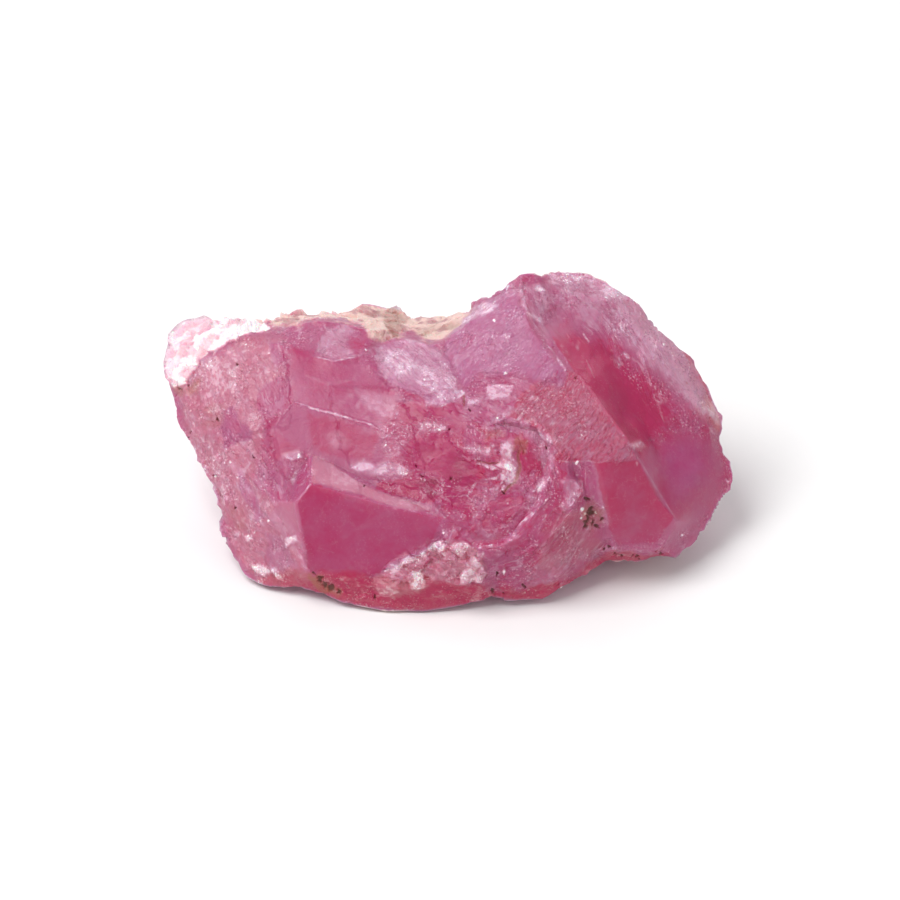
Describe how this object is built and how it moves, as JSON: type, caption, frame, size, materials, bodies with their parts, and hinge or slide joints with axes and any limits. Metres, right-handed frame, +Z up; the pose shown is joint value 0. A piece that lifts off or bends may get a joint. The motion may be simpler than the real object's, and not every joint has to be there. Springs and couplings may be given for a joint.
{
  "type": "raw cobaltoan calcite",
  "caption": "Rough pink mineral lump with flat cleavage faces, stepped ledges, a shell-shaped break and a flat base.",
  "frame": {"origin": "centre of the stone's bounding box, on the ground that it rests on", "axes": "+X along the length of the stone, +Y from the show face to the back, +Z up"},
  "size_m": [0.0342, 0.0194, 0.0141],
  "materials": {
    "calcite": "translucent pink cleavage faces with frosted breaks and a pale grainy crust"
  },
  "bodies": {
    "root": {"cobaltoan_calcite": "calcite"}
  },
  "joints": []
}
